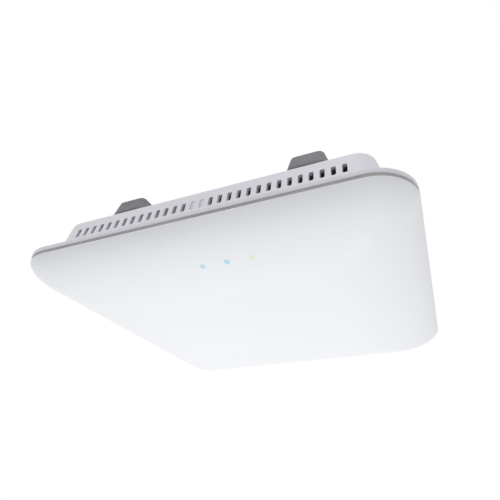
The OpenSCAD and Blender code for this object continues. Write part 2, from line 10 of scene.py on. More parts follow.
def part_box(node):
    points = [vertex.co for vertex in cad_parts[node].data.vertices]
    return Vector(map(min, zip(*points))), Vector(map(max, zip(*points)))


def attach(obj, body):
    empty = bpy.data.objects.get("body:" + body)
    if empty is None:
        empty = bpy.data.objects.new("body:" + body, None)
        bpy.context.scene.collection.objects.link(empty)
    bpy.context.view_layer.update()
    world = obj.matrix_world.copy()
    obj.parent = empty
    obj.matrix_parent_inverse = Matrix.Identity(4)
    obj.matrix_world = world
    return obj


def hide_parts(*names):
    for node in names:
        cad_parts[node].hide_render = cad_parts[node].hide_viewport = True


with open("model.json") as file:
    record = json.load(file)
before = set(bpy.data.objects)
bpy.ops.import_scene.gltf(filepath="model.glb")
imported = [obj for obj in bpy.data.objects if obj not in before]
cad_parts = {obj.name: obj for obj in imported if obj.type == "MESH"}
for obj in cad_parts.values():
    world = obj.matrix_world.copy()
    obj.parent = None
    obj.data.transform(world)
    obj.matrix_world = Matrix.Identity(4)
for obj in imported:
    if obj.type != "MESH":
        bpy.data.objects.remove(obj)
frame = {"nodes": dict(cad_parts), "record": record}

bl_info = {
    "name": "Ceiling Access Point",
    "version": (1, 0, 0),
    "blender": (4, 5, 0),
    "location": "View3D > Sidebar > Access Point",
    "description": "Builds a square ceiling access point and its twist-lock bracket round a packed frame",
    "category": "Add Mesh",
}

MM = 0.001
CORNER_STEPS = 18           # edges in each rounded corner of an outline
ROUND_STEPS = 6             # edges in a small rounding between two levels
SCREW_HEAD = 2.8 * MM       # radius of every screw's head
SUNK = 0.5 * MM             # how deep a piece starts in the piece that it is joined to
MERGE = MM / 500            # points nearer than this become one
NOISE_ENDS = (0.3, 0.7)     # values between which most of a noise pattern lies
LIGHTS = ("blue", "cyan", "green")


# Sizes and colours that a user may change -----------------------------------------------


def number(name, description, default, **settings):
    return bpy.props.FloatProperty(name=name, description=description, default=default, **settings)


def length(name, description, millimetres):
    return number(
        name, description, millimetres * MM, min=0.0, precision=5, subtype="DISTANCE", unit="LENGTH")


def rotation(name, description, radians):
    return number(name, description, radians, subtype="ANGLE", unit="ROTATION")


def count(name, description, default, least=0):
    return bpy.props.IntProperty(name=name, description=description, default=default, min=least)


def colour(name, description, value):
    return bpy.props.FloatVectorProperty(
        name=name, description=description, default=value, size=3, min=0.0, max=1.0, subtype="COLOR")


class CoverSizes(bpy.types.PropertyGroup):
    """Sizes of the domed front cover and the strip behind it."""
    corner_radius: length("Corner radius", "Plan radius of the body's corners", 20)
    roll_width: length("Border width", "Width of the rolled border", 49)
    roll_power: number("Border roundness", "2 rolls the border as a quarter ellipse", 1.76)
    roll_shrink: number("Corner tightening", "Plan radius lost for each metre inwards", 0.7)
    core_radius: length("Core radius", "Least plan radius on the cover", 6)
    skin: length("Skin", "Thickness of the cover's skin", 2)
    edge_round: length("Edge rounding", "Rounding of the edge at the seam", 0.35)
    cells: count("Cells", "Cells of the cover's mesh along a side", 128, 32)
    light_radius: length("Light radius", "Radius of a light guide's tip", 1.2)
    seam_inset: length("Seam inset", "How far the seam strip lies inside the outline", 0.4)
    seam_width: length("Seam width", "Width of the seam strip", 4.1)


class HousingSizes(bpy.types.PropertyGroup):
    """Sizes of the vented rear housing and of the feet on its back."""
    wall: length("Wall", "Thickness of the walls", 2.2)
    flange_height: length("Flange height", "Height of the flange above its underside", 2.55)
    flange_round: length("Flange rounding", "Rounding of the flange's upper edge", 0.7)
    flare: length("Flare", "Radius of the hollow curve between flange and wall", 1.6)
    wall_inset: length("Foot inset", "Inset of the wall at the flange", 9.2)
    back_inset: length("Back inset", "Inset of the wall at the back face", 15)
    back_radius: length("Back radius", "Plan radius of the corners at the back face", 9)
    rim_round: length("Rim rounding", "Rounding between wall and back face", 2)
    slot_pitch: length("Slot pitch", "Pitch of the vent slots", 5)
    slot_width: length("Slot width", "Width of a vent slot", 2.3)
    slot_height: length("Slot height", "Height of a vent slot", 5.9)
    slot_lift: length("Slot lift", "Height of the slots' centres above the seam", 16.6)
    slot_round: length("Slot rounding", "Corner radius of a slot", 0.7)
    slot_count: count("Slots", "Slots on each side of the middle, closed ones included", 15)
    closed_slots: count("Closed slots", "Closed slots on each side of the middle", 1)
    closed_depth: length("Closed depth", "Depth of a closed slot", 0.5)
    edge_bevel: length("Edge bevel", "Bevel of the slots, ribs and openings", 0.25)
    boss_radius: length("Boss radius", "Radius of the cover screws' bosses", 4)
    sink_radius: length("Counterbore radius", "Radius of the cover screws' counterbores", 3.1)
    sink_depth: length("Counterbore depth", "Depth of those counterbores", 4)
    bore_radius: length("Bore radius", "Radius of the cover screws' bores", 1.55)
    post_radius: length("Post radius", "Radius of the posts under the board's screws", 3.5)
    button_bore: length("Button bore", "Radius of the reset button's hole", 2.05)
    foot_length: length("Foot length", "Length of a rubber foot along the vented walls", 22)
    foot_width: length("Foot width", "Width of a rubber foot", 17)
    foot_radius: length("Foot radius", "Plan radius of a foot's corners at its base", 5.5)
    foot_taper: length("Foot taper", "Taper of a foot from base to tip", 2.5)


class BracketSizes(bpy.types.PropertyGroup):
    """Sizes of the twist-lock bracket and of the hooks that it holds."""
    dish_radius: length("Dish radius", "Radius of the pressed dish", 46)
    sheet: length("Sheet", "Thickness of the pressed sheet", 1.5)
    bend: length("Bend", "Outer radius of the dish's bend", 2.2)
    cable_radius: length("Cable hole radius", "Radius of the cable hole", 20)
    screw_circle: length("Screw circle", "Radius of the circle through the screw holes", 30)
    screw_radius: length("Screw hole radius", "Radius of a ceiling screw hole", 2.2)
    screw_count: count("Screw holes", "Number of ceiling screw holes", 4)
    tab_count: count("Tabs", "Number of bayonet tabs", 4)
    tab_reach: length("Tab reach", "Reach of a tab beyond the dish", 8)
    tab_angle: rotation("Tab angle", "Angle that a tab spans", math.radians(20))
    first_tab: rotation("First tab", "Direction of the first tab", math.radians(45))
    hook_gap: length("Hook gap", "Gap between a tab and the lip over it", 0.3)
    hook_lip: length("Hook lip", "Thickness of a hook's lip", 2.4)
    hook_wall: length("Hook wall", "Thickness of a hook's upright wall", 3)
    ear_half: length("Ear half width", "Half width of the ear that carries the spring", 12)
    ear_round: length("Ear rounding", "Corner radius of the ear", 4)
    rivet_radius: length("Rivet hole radius", "Radius of the leaf spring's rivet holes", 1.5)
    rivet_side: length("Rivet spacing", "Distance of a rivet from the ear's middle line", 2.7)
    rivet_reach: length("Rivet reach", "Distance of the rivets beyond the dish", 8)


class Finishes(bpy.types.PropertyGroup):
    """Colours of the visible finishes."""
    cover: colour("Cover", "Satin moulding of the cover", (0.885, 0.890, 0.905))
    housing: colour("Housing", "Textured moulding of the housing", (0.775, 0.77, 0.81))
    seam: colour("Seam", "Rubber strip in the seam", (0.47, 0.44, 0.44))
    feet: colour("Feet", "Rubber of the feet", (0.21, 0.21, 0.225))
    blue: colour("Blue light", "First status light", (0.40, 0.61, 0.72))
    cyan: colour("Cyan light", "Second status light", (0.26, 0.61, 0.72))
    green: colour("Green light", "Third status light", (0.60, 0.74, 0.42))
    light_strength: number("Light strength", "Brightness of the status lights", 0.15)


class StudioSettings(bpy.types.PropertyGroup):
    """Camera, lamps and floor."""
    camera_from_seam: bpy.props.FloatVectorProperty(
        name="Camera", description="Camera's place from the middle of the seam",
        default=(0.09208, -0.23566, -0.11053), size=3, precision=5, subtype="TRANSLATION", unit="LENGTH")
    turn: rotation("Turn", "Camera's turn to the left", 0.40345)
    tilt: rotation("Tilt", "Camera's tilt upwards", 0.53375)
    roll: rotation("Roll", "Camera's roll", 0.01895)
    lens: number("Lens", "Focal length on a 36 mm sensor", 31.507, subtype="DISTANCE_CAMERA")
    floor_drop: length("Floor drop", "Depth of the floor below the ceiling", 800)
    ambient: number("Ambient", "Strength of the light from all round", 0.65)
    key_power: number("Key lamp", "Power of the lamp below", 2.95, subtype="POWER")
    rim_power: number("Rim lamp", "Power of the lamp above", 2.2, subtype="POWER")


class AccessPointSettings(bpy.types.PropertyGroup):
    """All settings of the access point."""
    cover: bpy.props.PointerProperty(type=CoverSizes)
    housing: bpy.props.PointerProperty(type=HousingSizes)
    bracket: bpy.props.PointerProperty(type=BracketSizes)
    finishes: bpy.props.PointerProperty(type=Finishes)
    studio: bpy.props.PointerProperty(type=StudioSettings)


def settings():
    return bpy.context.scene.access_point


# Levels that follow from the frame ------------------------------------------------------


@functools.cache
def box(node):
    """Two corners of a CAD node, worked out once."""
    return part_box(node)


def half_width():
    return box("rear_housing")[1].x


def seam_levels():
    low, high = box("seam_gasket")
    return low.z, high.z


def seam_middle():
    return sum(seam_levels()) / 2


def face_level():
    return box("front_cover")[0].z


def back_level():
    return box("rubber_feet")[0].z


def four_places(node, reach_x, reach_y):
    """Plan places of a node's four like solids, each of which reaches so far from its middle."""
    low, high = box(node)
    return [(x, y) for x in (low.x + reach_x, high.x - reach_x) for y in (low.y + reach_y, high.y - reach_y)]


# Modelling helpers ----------------------------------------------------------------------


def deselect():
    if bpy.context.object and bpy.context.object.mode != "OBJECT":
        bpy.ops.object.mode_set(mode="OBJECT")
    bpy.ops.object.select_all(action="DESELECT")


def pick(obj):
    deselect()
    obj.select_set(True)
    bpy.context.view_layer.objects.active = obj


def edit(obj, mode="VERT"):
    pick(obj)
    bpy.ops.object.mode_set(mode="EDIT")
    bpy.ops.mesh.select_mode(type=mode)
    return bmesh.from_edit_mesh(obj.data)


def edit_all(obj):
    """Opens obj in edit mode with all of it selected."""
    edit(obj)
    bpy.ops.mesh.select_all(action="SELECT")


def leave():
    bpy.ops.object.mode_set(mode="OBJECT")


def select_where(obj, test):
    """Selects the points whose place passes the test, and what lies between them."""
    mesh = edit(obj)
    bpy.ops.mesh.select_all(action="DESELECT")
    for vert in mesh.verts:
        vert.select = bool(test(vert.co))
    mesh.select_flush(True)
    bmesh.update_edit_mesh(obj.data)


def bevel_where(obj, test, width, segments):
    """Bevels the edges whose two ends pass the test."""
    mesh = edit(obj, "EDGE")
    bpy.ops.mesh.select_all(action="DESELECT")
    for edge in mesh.edges:
        edge.select = bool(test(edge.verts[0].co, edge.verts[1].co))
    bmesh.update_edit_mesh(obj.data)
    bpy.ops.mesh.bevel(offset=width, segments=segments)
    leave()
    return obj


def added(name):
    """The primitive just added, named, with its place in its mesh."""
    obj = bpy.context.object
    obj.name = name
    bpy.ops.object.transform_apply(location=True, rotation=True, scale=True)
    return obj


def modify(obj, kind, **values):
    """Adds a modifier, sets it and applies it."""
    pick(obj)
    modifier = obj.modifiers.new(kind.title(), kind)
    for key, value in values.items():
        setattr(modifier, key, value)
    bpy.ops.object.modifier_apply(modifier=modifier.name)


def cut(obj, tool, operation="DIFFERENCE"):
    """Cuts a tool out of obj, or joins it on, and removes the tool."""
    modify(obj, "BOOLEAN", object=tool, operation=operation, solver="EXACT")
    bpy.data.objects.remove(tool)
    return obj


def join(objects):
    deselect()
    for obj in objects:
        obj.select_set(True)
    bpy.context.view_layer.objects.active = objects[0]
    if len(objects) > 1:
        bpy.ops.object.join()
    return bpy.context.object


def copies(obj, places):
    """Copies obj to each place, each copy with its own mesh, and joins them."""
    made = []
    for place in places:
        twin = obj.copy()
        twin.data = obj.data.copy()
        bpy.context.scene.collection.objects.link(twin)
        twin.data.transform(place)
        made.append(twin)
    bpy.data.objects.remove(obj)
    return join(made)


def four_copies(obj, node, reach_x, reach_y):
    """Copies obj to the places of a node's four like solids."""
    return copies(obj, [Matrix.Translation((x, y, 0)) for x, y in four_places(node, reach_x, reach_y)])


def face_outwards(obj):
    edit_all(obj)
    bpy.ops.mesh.remove_doubles(threshold=MM / 200)
    bpy.ops.mesh.normals_make_consistent(inside=False)
    leave()
    return obj


def soften(obj, width, segments, angle=40):
    """Bevels every edge sharper than an angle, and clears faces that this leaves with no area."""
    modify(obj, "BEVEL", width=width, segments=segments, limit_method="ANGLE",
           angle_limit=math.radians(angle), use_clamp_overlap=True)
    edit_all(obj)
    bpy.ops.mesh.dissolve_degenerate(threshold=MERGE)
    leave()


def smooth(obj, angle=35):
    pick(obj)
    bpy.ops.object.shade_smooth_by_angle(angle=math.radians(angle))
    modify(obj, "WEIGHTED_NORMAL", keep_sharp=True, weight=50)
    return obj


def finish(obj, name, body, slot, *nodes):
    """Names a finished piece, gives it its material, its body and the CAD nodes it stands for."""
    obj.name = name
    obj.data.name = name
    obj.data.materials.clear()
    obj.data.materials.append(material(slot))
    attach(obj, body)
    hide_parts(*nodes)


def outline(half, radius, z):
    """Points of a rounded square, or rectangle where half is a pair, anticlockwise from above."""
    x, y = (side - radius for side in (half if isinstance(half, tuple) else (half, half)))
    points = []
    for quarter in range(4):
        middle = Vector((x if quarter in (0, 3) else -x, y if quarter < 2 else -y, z))
        for step in range(CORNER_STEPS + 1):
            angle = math.radians(90) * (quarter + step / CORNER_STEPS)
            points.append(middle + Vector((radius * math.cos(angle), radius * math.sin(angle), 0)))
    return points


def place_loop(obj, points):
    """Moves the selected loop, taken by its direction from the middle, to an outline."""
    mesh = bmesh.from_edit_mesh(obj.data)
    chosen = [vert for vert in mesh.verts if vert.select]
    chosen.sort(key=lambda vert: math.atan2(vert.co.y, vert.co.x) % math.tau)
    for vert, point in zip(chosen, points, strict=True):
        vert.co = point
    bmesh.update_edit_mesh(obj.data)


def outline_stack(name, levels, ring=False):
    """Extrudes a rounded square through (half width, radius, z) levels.
    A ring is closed from its last level to its first; any other stack is capped at both ends."""
    deselect()
    bpy.ops.mesh.primitive_circle_add(vertices=4 * (CORNER_STEPS + 1), radius=1.0)
    obj = added(name)
    edit_all(obj)
    place_loop(obj, outline(*levels[0]))
    for level in levels[1:]:
        bpy.ops.mesh.extrude_edges_move()
        place_loop(obj, outline(*level))
    bpy.ops.mesh.select_all(action="DESELECT")
    bpy.ops.mesh.select_non_manifold(extend=False)
    if ring:
        bpy.ops.mesh.bridge_edge_loops()
    else:
        bpy.ops.mesh.fill_holes(sides=0)
    bpy.ops.mesh.select_all(action="SELECT")
    bpy.ops.mesh.normals_make_consistent(inside=False)
    leave()
    return obj


def quarter_turn(half, z, radius_in, radius_up, start, end, steps=ROUND_STEPS):
    """(half width, z) pairs along an elliptic quarter about (half, z), from one angle to another."""
    pairs = []
    for step in range(steps + 1):
        angle = math.radians(start + (end - start) * step / steps)
        pairs.append((half + radius_in * math.cos(angle), z + radius_up * math.sin(angle)))
    return pairs


def spun(name, profile, steps, angle=math.tau, start=0.0):
    """Spins a closed profile of (radius, z) points about the vertical axis."""
    whole = angle > math.tau - 0.001
    deselect()
    bpy.ops.mesh.primitive_circle_add(
        vertices=len(profile), radius=1.0, fill_type="NOTHING" if whole else "NGON")
    obj = added(name)
    mesh = edit(obj)
    for vert, (radius, z) in zip(mesh.verts, profile, strict=True):
        vert.co = (radius * math.cos(start), radius * math.sin(start), z)
    bmesh.update_edit_mesh(obj.data)
    bpy.ops.mesh.select_all(action="SELECT")
    bpy.ops.mesh.spin(steps=steps, angle=angle, center=(0, 0, 0), axis=(0, 0, 1))
    leave()
    return face_outwards(obj)


def block(name, low, high):
    """A box between two corners."""
    deselect()
    middle = (Vector(low) + Vector(high)) / 2
    bpy.ops.mesh.primitive_cube_add(size=1.0, location=middle)
    bpy.context.object.scale = Vector(high) - Vector(low)
    return added(name)


def rod(name, radius, low, high, x=0.0, y=0.0, vertices=32):
    """An upright cylinder between two heights."""
    deselect()
    bpy.ops.mesh.primitive_cylinder_add(
        vertices=vertices, radius=radius, depth=high - low, location=(x, y, (low + high) / 2))
    return added(name)


def bench_copy(node, bevel, segments):
    """A copy of a CAD node with its triangles merged into faces and its edges broken."""
    source = frame["nodes"][node]
    obj = source.copy()
    obj.data = source.data.copy()
    obj.parent = None
    for key in list(obj.keys()):    # the frame's own marks, which belong to the CAD node only
        del obj[key]
    bpy.context.scene.collection.objects.link(obj)
    edit_all(obj)
    bpy.ops.mesh.remove_doubles(threshold=MERGE)
    bpy.ops.mesh.dissolve_limited(angle_limit=math.radians(1))
    leave()
    soften(obj, bevel, segments)
    return smooth(obj)


def bench_piece(node, name, body, bevel, segments):
    """A bench copy that stands for its CAD node, in the node's own slot; the bevel is in millimetres."""
    finish(bench_copy(node, bevel * MM, segments), name, body, slot_of(node), node)


# Materials ------------------------------------------------------------------------------


def fill(node, **values):
    """Sets a shader node's sockets, with their names' spaces as underscores."""
    for key, value in values.items():
        node.inputs[key.replace("_", " ")].default_value = value


class Finish:
    """A material under construction: a shader with its object coordinates."""

    def __init__(self, name, colour, roughness, **sockets):
        self.material = bpy.data.materials.new(f"{name}_finish")
        self.material.use_nodes = True
        self.nodes = self.material.node_tree.nodes
        self.links = self.material.node_tree.links
        self.shader = self.nodes["Principled BSDF"]
        self.place = self.nodes.new("ShaderNodeTexCoord").outputs["Object"]
        fill(self.shader, Base_Color=(*colour, 1.0), Roughness=roughness, **sockets)
        self.colour = colour
        self.normal = None

    def add(self, kind, socket, source, **values):
        """A new node with a source linked to one of its sockets and values on others."""
        node = self.nodes.new(f"ShaderNode{kind}")
        self.links.new(source, node.inputs[socket])
        fill(node, **values)
        return node

    def noise(self, scale, detail, stretch=None):
        """Soft noise, drawn out where stretch has unlike scales."""
        place = self.place
        if stretch:
            place = self.add("Mapping", "Vector", place, Scale=stretch).outputs["Vector"]
        return self.add("TexNoise", "Vector", place, Scale=scale, Detail=detail).outputs["Fac"]

    def cells(self, scale):
        """Flat cells, each of its own shade."""
        return self.add("TexVoronoi", "Vector", self.place, Scale=scale).outputs["Color"]

    def vary_colour(self, pattern, darker, lighter, ends=NOISE_ENDS):
        """Lets a pattern run the colour between two multiples of itself, or two colours."""
        ramp = self.add("ValToRGB", "Fac", pattern)
        for stop, end, position in zip(ramp.color_ramp.elements, (darker, lighter), ends):
            value = end if isinstance(end, tuple) else tuple(min(c * end, 1.0) for c in self.colour)
            stop.color = (*value, 1.0)
            stop.position = position
        self.links.new(ramp.outputs["Color"], self.shader.inputs["Base Color"])

    def vary_roughness(self, pattern, low, high):
        """Lets a pattern run the roughness between two values."""
        least, most = NOISE_ENDS
        node = self.add("MapRange", "Value", pattern, From_Min=least, From_Max=most, To_Min=low, To_Max=high)
        self.links.new(node.outputs["Result"], self.shader.inputs["Roughness"])

    def bump(self, pattern, depth, strength):
        """Adds relief of a depth in metres, over any relief already there."""
        node = self.add("Bump", "Height", pattern, Distance=depth, Strength=strength)
        if self.normal:
            self.links.new(self.normal, node.inputs["Normal"])
        self.normal = node.outputs["Normal"]
        self.links.new(self.normal, self.shader.inputs["Normal"])
        return self

    def glow(self, strength):
        """Lets the finish shine in its own colour."""
        fill(self.shader, Emission_Color=(*self.colour, 1.0), Emission_Strength=strength)


def cover_plastic():
    made = Finish("cover_plastic", settings().finishes.cover, 0.42, Specular_IOR_Level=0.4)
    made.vary_colour(made.noise(9, 3), 0.985, 1.01)
    made.vary_roughness(made.noise(70, 3), 0.38, 0.46)
    return made.bump(made.noise(2600, 2), 0.00002, 0.25).bump(made.noise(16, 1), 0.0002, 0.05)


def housing_plastic():
    made = Finish("housing_plastic", settings().finishes.housing, 0.5, Specular_IOR_Level=0.4)
    made.vary_colour(made.noise(14, 3), 0.97, 1.015)
    made.vary_roughness(made.noise(120, 3), 0.46, 0.58)
    return made.bump(made.noise(1700, 3), 0.00004, 0.35)


def gasket_rubber():
    made = Finish("gasket_rubber", settings().finishes.seam, 0.7)
    made.vary_colour(made.noise(60, 3), 0.85, 1.1)
    return made.bump(made.noise(2200, 3), 0.00005, 0.4)


def grey_rubber():
    made = Finish("grey_rubber", settings().finishes.feet, 0.68, Specular_IOR_Level=0.35)
    made.vary_colour(made.noise(45, 4), 0.86, 1.18)
    made.vary_roughness(made.noise(160, 3), 0.6, 0.78)
    return made.bump(made.noise(1400, 4), 0.00008, 0.5)


def zinc_sheet():
    """Galvanised sheet with a spangle."""
    made = Finish("zinc_sheet", (0.42, 0.43, 0.45), 0.38, Metallic=0.9)
    made.vary_colour(made.cells(230), (0.33, 0.34, 0.36), (0.52, 0.53, 0.55), (0.1, 0.9))
    made.vary_roughness(made.cells(230), 0.30, 0.48)
    return made.bump(made.noise(500, 3), 0.00003, 0.3)


def rolled_steel(name, tone, roughness):
    made = Finish(name, (tone, tone, tone * 1.02), roughness, Metallic=1.0)
    made.vary_colour(made.noise(300, 2, (1, 12, 12)), 0.9, 1.08)
    made.vary_roughness(made.noise(500, 2, (1, 10, 10)), roughness - 0.08, roughness + 0.1)
    return made.bump(made.noise(1500, 2, (1, 14, 14)), 0.00001, 0.4)


def spring_steel():
    return rolled_steel("spring_steel", 0.46, 0.28)


def zinc_screws():
    made = rolled_steel("zinc_screws", 0.50, 0.3)
    return made.bump(made.noise(900, 2), 0.00001, 0.4)


def tinned_steel():
    made = rolled_steel("tinned_steel", 0.52, 0.26)
    return made.bump(made.noise(160, 2), 0.00002, 0.3)


def board_laminate():
    made = Finish("board_laminate", (0.012, 0.10, 0.055), 0.32, Coat_Weight=0.4)
    bricks = made.add("TexBrick", "Vector", made.place, Scale=170, Mortar_Size=0.04,
                      Color1=(0.010, 0.085, 0.045, 1), Color2=(0.014, 0.11, 0.06, 1),
                      Mortar=(0.03, 0.20, 0.10, 1))
    made.links.new(bricks.outputs["Color"], made.shader.inputs["Base Color"])
    return made.bump(bricks.outputs["Fac"], 0.00003, 0.5)


def moulded(name, tone, roughness, grain):
    """Plain moulded resin or plastic with a fine grain."""
    made = Finish(name, tone, roughness)
    made.vary_colour(made.noise(80, 3), 0.85, 1.15)
    made.vary_roughness(made.noise(200, 2), roughness - 0.06, roughness + 0.08)
    return made.bump(made.noise(grain, 3), 0.00003, 0.35)


def plated(name, tone, roughness):
    """Thin bright plating over stamped metal."""
    made = Finish(name, tone, roughness, Metallic=1.0)
    made.vary_colour(made.noise(250, 2), 0.92, 1.06)
    made.vary_roughness(made.noise(400, 2), roughness - 0.06, roughness + 0.08)
    return made.bump(made.noise(1200, 2), 0.00001, 0.3)


def coil_tape():
    made = Finish("coil_tape", (0.62, 0.36, 0.04), 0.3, Coat_Weight=0.3)
    made.vary_colour(made.noise(300, 2, (1, 1, 10)), 0.85, 1.1)
    return made.bump(made.noise(400, 1, (1, 1, 14)), 0.0001, 0.5)


def thermal_pad():
    made = Finish("thermal_pad", (0.16, 0.21, 0.32), 0.75)
    made.vary_colour(made.noise(300, 3), 0.85, 1.15)
    return made.bump(made.noise(1600, 3), 0.00005, 0.5)


def sink_aluminium():
    made = Finish("sink_aluminium", (0.62, 0.63, 0.65), 0.36, Metallic=1.0)
    made.vary_colour(made.noise(250, 2, (12, 1, 12)), 0.9, 1.08)
    return made.bump(made.noise(900, 2, (14, 1, 14)), 0.00002, 0.5)


def light_lens(name):
    """Clear moulding with light behind it."""
    made = Finish(f"{name}_light", getattr(settings().finishes, name), 0.25, Coat_Weight=0.5)
    made.vary_colour(made.noise(900, 2), 0.9, 1.1)
    made.glow(settings().finishes.light_strength)
    return made.bump(made.noise(1500, 2), 0.00001, 0.3)


MOULDINGS = {               # tone, roughness and scale of the grain
    "black_plastic": ((0.022, 0.022, 0.025), 0.45, 1500),
    "button_plastic": ((0.035, 0.035, 0.04), 0.35, 1500),
    "pale_plastic": ((0.62, 0.60, 0.52), 0.35, 1500),
    "chip_resin": ((0.018, 0.018, 0.02), 0.55, 2200),
    "ferrite": ((0.05, 0.05, 0.055), 0.6, 900),
    "capacitor_sleeve": ((0.02, 0.025, 0.07), 0.25, 700),
    "lead_jacket": ((0.02, 0.02, 0.022), 0.4, 1200),
    "led_resin": ((0.80, 0.76, 0.45), 0.25, 1200),
}
PLATINGS = {                # tone and roughness
    "gold_plate": ((0.85, 0.60, 0.22), 0.22),
    "nickel_pin": ((0.70, 0.67, 0.62), 0.18),
    "antenna_brass": ((0.66, 0.55, 0.34), 0.3),
}
FINISHES = {make.__name__: make for make in (
    cover_plastic, housing_plastic, gasket_rubber, grey_rubber, zinc_sheet, spring_steel, zinc_screws,
    tinned_steel, board_laminate, coil_tape, thermal_pad, sink_aluminium)}


@functools.cache
def material(slot):
    """The material of a slot, made when it is first needed."""
    if slot in MOULDINGS:
        made = moulded(slot, *MOULDINGS[slot])
    elif slot in PLATINGS:
        made = plated(slot, *PLATINGS[slot])
    elif slot in FINISHES:
        made = FINISHES[slot]()
    else:
        made = light_lens(slot.removesuffix("_light"))
    return made.material


def slot_of(node):
    """The material slot that the record gives to a CAD node."""
    return next(part["material_slot"] for part in frame["record"]["subparts"] if part["node"] == node)


# Front cover ----------------------------------------------------------------------------


def roll(angle):
    """Share of the border's width and depth reached at an angle from 0 (rim) to 90 (face)."""
    power = 2 / settings().cover.roll_power
    turn = math.radians(angle)
    return 1 - max(math.cos(turn), 0.0) ** power, math.sin(turn) ** power


def border_depth(inset):
    """Depth of the cover's outer face below the seam at an inset from a straight side."""
    sizes = settings().cover
    turn = math.acos((1 - inset / sizes.roll_width) ** (sizes.roll_power / 2))
    return (seam_middle() - face_level()) * math.sin(turn) ** (2 / sizes.roll_power)


def cover_point(u, v):
    """Place on the cover's outer face of a point in the square from -1 to 1."""
    sizes = settings().cover
    depth = seam_middle() - face_level()
    rim = (seam_middle() - seam_levels()[0]) / depth
    border_share = 0.55     # share of the square's cells that the border takes
    corner_share = 0.20     # share of each side's cells that a corner takes
    size = max(abs(u), abs(v))
    if size < 1e-9:
        return Vector((0, 0, face_level()))
    if size >= 1 - border_share:
        first = math.degrees(math.asin(rim ** (sizes.roll_power / 2)))
        run, drop = roll(first + (90 - first) * (1 - size) / border_share)
        inset = sizes.roll_width * run
        radius = max(sizes.corner_radius - sizes.roll_shrink * inset, sizes.core_radius)
        z = seam_middle() - depth * drop
    else:
        share = size / (1 - border_share)
        inset = sizes.roll_width + (half_width() - sizes.roll_width) * (1 - share)
        radius = sizes.core_radius * share
        z = face_level()
    reach = half_width() - inset
    along = (v if abs(u) >= abs(v) else u) / size
    straight = reach - radius
    if abs(along) <= 1 - corner_share:
        out, side = reach, straight * along / (1 - corner_share)
    else:
        turn = math.radians(45) * (abs(along) - 1 + corner_share) / corner_share
        out = straight + radius * math.cos(turn)
        side = math.copysign(straight + radius * math.sin(turn), along)
    if abs(u) >= abs(v):
        return Vector((math.copysign(out, u), side, z))
    return Vector((side, math.copysign(out, v), z))


class ACCESSPOINT_OT_cover(bpy.types.Operator):
    """Model the domed front cover with its light holes"""
    bl_idname = "accesspoint.cover"
    bl_label = "Front cover"

    def execute(self, context):
        sizes = settings().cover
        deselect()
        bpy.ops.mesh.primitive_grid_add(x_subdivisions=sizes.cells, y_subdivisions=sizes.cells, size=2.0)
        obj = added("front_cover_skin")
        rim = seam_levels()[0]
        for vert in obj.data.vertices:
            on_rim = max(abs(vert.co.x), abs(vert.co.y)) > 1 - 1e-6
            vert.co = cover_point(vert.co.x, vert.co.y)
            if on_rim:
                vert.co.z = rim
        self.round_rim(obj, rim, sizes.edge_round)
        edit_all(obj)
        bpy.ops.mesh.flip_normals()
        leave()
        modify(obj, "SOLIDIFY", thickness=sizes.skin, offset=-1.0, use_even_offset=True)
        self.drill(obj)
        pick(obj)
        bpy.ops.object.shade_smooth_by_angle(angle=math.radians(50))
        finish(obj, "front_cover_shell", "access_point", "cover_plastic", "front_cover")
        return {"FINISHED"}

    def round_rim(self, obj, rim, radius):
        """Extrudes the edge at the seam inwards in a small rounding, and settles it back under the seam."""
        select_where(obj, lambda co: abs(co.z - rim) < MM / 1000)
        arc = quarter_turn(half_width() - radius, 0.0, radius, radius, 0, 90, 3)
        for (reach, height), (next_reach, next_height) in zip(arc, arc[1:]):
            scale = next_reach / reach
            bpy.ops.mesh.extrude_edges_move()
            bpy.ops.transform.resize(value=(scale, scale, 1.0), center_override=(0, 0, rim))
            bpy.ops.transform.translate(value=(0, 0, next_height - height))
        leave()
        fade = 3 * MM           # depth of the band that gives way to the rounding
        rise = max(vert.co.z for vert in obj.data.vertices) - rim
        for vert in obj.data.vertices:
            vert.co.z -= rise * min(max((vert.co.z - rim + fade) / fade, 0.0), 1.0)

    def drill(self, obj):
        """Cuts the three holes for the light guides."""
        radius = settings().cover.light_radius + 0.05 * MM
        tools = []
        for name in LIGHTS:
            low, high = box(f"{name}_light_guide")
            middle = (low + high) / 2
            tools.append(rod("drill", radius, low.z - MM, high.z, middle.x, middle.y))
        cut(obj, join(tools))


class ACCESSPOINT_OT_seam(bpy.types.Operator):
    """Model the dark strip in the seam"""
    bl_idname = "accesspoint.seam"
    bl_label = "Seam strip"

    def execute(self, context):
        sizes = settings().cover
        low, high = seam_levels()
        outer = half_width() - sizes.seam_inset
        radius = sizes.corner_radius - sizes.seam_inset
        tall = high - low
        pairs = quarter_turn(outer - tall / 2, (low + high) / 2, tall / 2, tall / 2, -60, 60)
        bottom, top = pairs[0][1], pairs[-1][1]
        inner = outer - sizes.seam_width
        pairs += [(inner, top), (inner, bottom)]
        levels = [(reach, radius - (outer - reach), low + (z - bottom) * tall / (top - bottom))
                  for reach, z in pairs]
        obj = outline_stack("seam_strip", levels, ring=True)
        smooth(obj, 40)
        finish(obj, "seam_strip", "access_point", "gasket_rubber", "seam_gasket")
        return {"FINISHED"}


